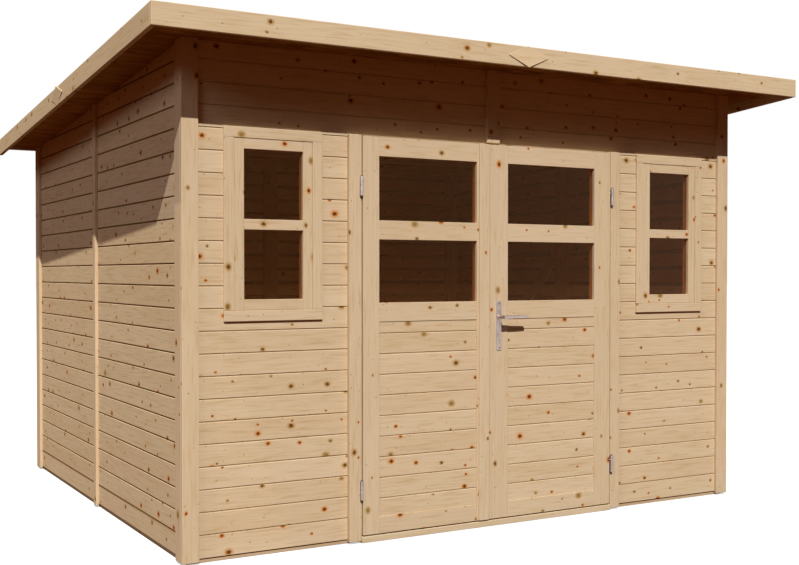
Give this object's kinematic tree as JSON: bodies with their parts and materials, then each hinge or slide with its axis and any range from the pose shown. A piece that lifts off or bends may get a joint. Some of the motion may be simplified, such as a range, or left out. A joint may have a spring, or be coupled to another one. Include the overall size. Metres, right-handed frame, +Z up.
{
  "type": "wooden garden shed",
  "caption": "Garden shed of horizontal tongue-and-groove boards with a mono-pitch roof, a glazed double door and side windows.",
  "frame": {"origin": "on the ground, under the middle of the roof's outline", "axes": "+Z up, the front with its doors faces -Y, +X to the right of someone who faces the front"},
  "size_m": [3.44, 2.968, 2.184],
  "materials": {
    "wall_boards": "satin",
    "trim_boards": "satin",
    "frame_timber": "satin",
    "roof_boards": "satin",
    "felt": "matte",
    "door_timber": "satin",
    "glass": "gloss",
    "steel": "satin"
  },
  "bodies": {
    "shed": {"back_wall_frame": "frame_timber", "back_wall_left_panel": "wall_boards", "back_wall_right_panel": "wall_boards", "base_frame": "frame_timber", "corner_trims": "trim_boards", "cover_strips": "trim_boards", "door_frame": "frame_timber", "door_sill": "trim_boards", "fascia_plates": "trim_boards", "floor": "frame_timber", "frame_hinges": "steel", "front_fascia": "trim_boards", "front_left_panel": "wall_boards", "front_right_panel": "wall_boards", "front_top_left_panel": "wall_boards", "front_top_right_panel": "wall_boards", "front_wall_frame": "frame_timber", "jamb_boards": "trim_boards", "left_bargeboard": "trim_boards", "left_wall_frame": "frame_timber", "left_wall_front_panel": "wall_boards", "left_wall_rear_panel": "wall_boards", "purlins": "frame_timber", "rear_fascia": "trim_boards", "right_bargeboard": "trim_boards", "right_wall_frame": "frame_timber", "right_wall_front_panel": "wall_boards", "right_wall_rear_panel": "wall_boards", "roof_covering": "felt", "roof_deck": "roof_boards", "wall_braces": "frame_timber", "window_glass": "glass", "window_sashes": "trim_boards", "window_surrounds": "trim_boards"},
    "left_door": {"left_leaf_frame": "door_timber", "left_leaf_glass": "glass", "left_leaf_hinges": "steel", "left_leaf_infill": "door_timber", "meeting_strip": "door_timber"},
    "right_door": {"handle_plates": "steel", "right_leaf_frame": "door_timber", "right_leaf_glass": "glass", "right_leaf_hinges": "steel", "right_leaf_infill": "door_timber"},
    "lever": {"lever": "steel"}
  },
  "joints": [
    {"name": "left_door_swing", "type": "hinge", "parent": "shed", "child": "left_door", "pos_m": [-0.702, -1.222, 0.974], "axis": [0, 0, -1], "range_deg": [0, 160]},
    {"name": "right_door_swing", "type": "hinge", "parent": "shed", "child": "right_door", "pos_m": [0.702, -1.222, 0.974], "axis": [0, 0, 1], "range_deg": [0, 160]},
    {"name": "lever_turn", "type": "hinge", "parent": "right_door", "child": "lever", "pos_m": [0.023, -1.222, 0.974], "axis": [0, 1, 0], "range_deg": [0, 45], "stiffness_Nm_per_rad": 0.6, "springref_deg": -20.05}
  ]
}
